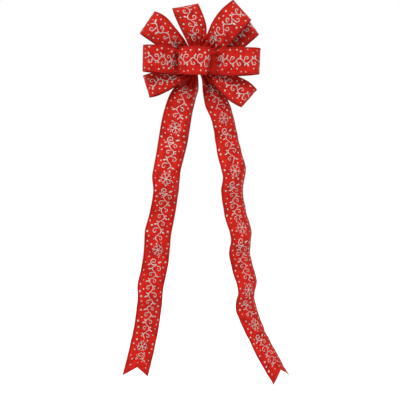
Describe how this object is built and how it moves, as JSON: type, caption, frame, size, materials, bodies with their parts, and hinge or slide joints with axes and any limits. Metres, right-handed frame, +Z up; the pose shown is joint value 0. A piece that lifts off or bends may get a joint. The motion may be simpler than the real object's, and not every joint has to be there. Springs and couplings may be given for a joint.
{
  "type": "gift bow",
  "caption": "Ready-made gift bow of wide wired-edge ribbon: a ring of long loops round a short centre loop, long tails with forked ends, and a wire tie at the back.",
  "frame": {"origin": "the twist of the tie at the back of the bow, which holds the bow up", "axes": "+Z up along the hanging tails, +Y out of the back of the bow, -Y the face, +X to the right seen from the front"},
  "size_m": [0.3697, 0.1382, 0.8461],
  "materials": {
    "ribbon_red": "woven polyester ribbon with a soft satin sheen",
    "ribbon_gathered": "gathered woven ribbon",
    "edge_wire": "selvedge thread woven over a fine wire",
    "tie_wire": "fuzzy chenille covered wire",
    "glitter_print": "silver glitter print"
  },
  "bodies": {
    "tie": {"gathered_center": "ribbon_gathered", "tie_wrap": "tie_wire", "tie_twist": "tie_wire"},
    "b_loop_left_upper": {"loop_left_upper": "ribbon_red", "loop_left_upper_wire_a": "edge_wire", "loop_left_upper_wire_b": "edge_wire"},
    "b_loop_top_left": {"loop_top_left": "ribbon_red", "loop_top_left_wire_a": "edge_wire", "loop_top_left_wire_b": "edge_wire"},
    "b_loop_top_right": {"loop_top_right": "ribbon_red", "loop_top_right_wire_a": "edge_wire", "loop_top_right_wire_b": "edge_wire"},
    "b_loop_right_upper": {"loop_right_upper": "ribbon_red", "loop_right_upper_wire_a": "edge_wire", "loop_right_upper_wire_b": "edge_wire"},
    "b_loop_left_middle": {"loop_left_middle": "ribbon_red", "loop_left_middle_wire_a": "edge_wire", "loop_left_middle_wire_b": "edge_wire"},
    "b_loop_right_middle": {"loop_right_middle": "ribbon_red", "loop_right_middle_wire_a": "edge_wire", "loop_right_middle_wire_b": "edge_wire"},
    "b_loop_left_lower": {"loop_left_lower": "ribbon_red", "loop_left_lower_wire_a": "edge_wire", "loop_left_lower_wire_b": "edge_wire"},
    "b_loop_right_lower": {"loop_right_lower": "ribbon_red", "loop_right_lower_wire_a": "edge_wire", "loop_right_lower_wire_b": "edge_wire"},
    "b_center_loop": {"center_loop": "ribbon_red", "center_loop_wire_top": "edge_wire", "center_loop_wire_bottom": "edge_wire"},
    "b_tail_left_upper": {"tail_left_upper": "ribbon_red", "tail_left_upper_wire_left": "edge_wire", "tail_left_upper_wire_right": "edge_wire"},
    "b_tail_left_lower": {"tail_left_lower": "ribbon_red", "tail_left_lower_wire_left": "edge_wire", "tail_left_lower_wire_right": "edge_wire"},
    "b_tie_leg_left": {"tie_leg_left": "tie_wire"},
    "b_tail_right_upper": {"tail_right_upper": "ribbon_red", "tail_right_upper_wire_left": "edge_wire", "tail_right_upper_wire_right": "edge_wire"},
    "b_tail_right_lower": {"tail_right_lower": "ribbon_red", "tail_right_lower_wire_left": "edge_wire", "tail_right_lower_wire_right": "edge_wire"},
    "b_tie_leg_right": {"tie_leg_right": "tie_wire"}
  },
  "joints": [
    {"name": "loop_left_upper_swivel", "type": "hinge", "parent": "tie", "child": "b_loop_left_upper", "pos_m": [0, -0.03, 0], "axis": [0, 1, 0], "range_deg": [-5, 7]},
    {"name": "loop_top_left_swivel", "type": "hinge", "parent": "tie", "child": "b_loop_top_left", "pos_m": [0, -0.03, 0], "axis": [0, 1, 0], "range_deg": [-5, 4]},
    {"name": "loop_top_right_swivel", "type": "hinge", "parent": "tie", "child": "b_loop_top_right", "pos_m": [0, -0.03, 0], "axis": [0, 1, 0], "range_deg": [-6, 4]},
    {"name": "loop_right_upper_swivel", "type": "hinge", "parent": "tie", "child": "b_loop_right_upper", "pos_m": [0, -0.03, 0], "axis": [0, 1, 0], "range_deg": [-4, 5]},
    {"name": "loop_left_middle_swivel", "type": "hinge", "parent": "tie", "child": "b_loop_left_middle", "pos_m": [0, -0.03, 0], "axis": [0, 1, 0], "range_deg": [-4, 10]},
    {"name": "loop_right_middle_swivel", "type": "hinge", "parent": "tie", "child": "b_loop_right_middle", "pos_m": [0, -0.03, 0], "axis": [0, 1, 0], "range_deg": [-4, 8]},
    {"name": "loop_left_lower_swivel", "type": "hinge", "parent": "tie", "child": "b_loop_left_lower", "pos_m": [0, -0.03, 0], "axis": [0, 1, 0], "range_deg": [-5, 3]},
    {"name": "loop_right_lower_swivel", "type": "hinge", "parent": "tie", "child": "b_loop_right_lower", "pos_m": [0, -0.03, 0], "axis": [0, 1, 0], "range_deg": [-5, 12]},
    {"name": "center_loop_rock", "type": "hinge", "parent": "tie", "child": "b_center_loop", "pos_m": [0, -0.0545, 0], "axis": [1, 0, 0], "range_deg": [-8, 8]},
    {"name": "tail_left_swing", "type": "hinge", "parent": "tie", "child": "b_tail_left_upper", "pos_m": [0, -0.03, 0], "axis": [0, 1, 0], "range_deg": [-5, 5]},
    {"name": "tail_right_swing", "type": "hinge", "parent": "tie", "child": "b_tail_right_upper", "pos_m": [0, -0.03, 0], "axis": [0, 1, 0], "range_deg": [-10, 5]},
    {"name": "tail_left_bend", "type": "hinge", "parent": "b_tail_left_upper", "child": "b_tail_left_lower", "pos_m": [-0.08595, -0.0145, -0.3768], "axis": [0.962, 0.2326, -0.1429], "range_deg": [-35, 35]},
    {"name": "tail_right_bend", "type": "hinge", "parent": "b_tail_right_upper", "child": "b_tail_right_lower", "pos_m": [0.09665, -0.018, -0.37655], "axis": [0.8102, 0.5775, 0.1002], "range_deg": [-35, 35]},
    {"name": "tie_leg_left_bend", "type": "hinge", "parent": "tie", "child": "b_tie_leg_left", "pos_m": [-0.0036, 0.002, 0], "axis": [0, 0, 1], "range_deg": [-55, 0]},
    {"name": "tie_leg_right_bend", "type": "hinge", "parent": "tie", "child": "b_tie_leg_right", "pos_m": [0.0036, 0.002, 0], "axis": [0, 0, 1], "range_deg": [0, 55]}
  ]
}
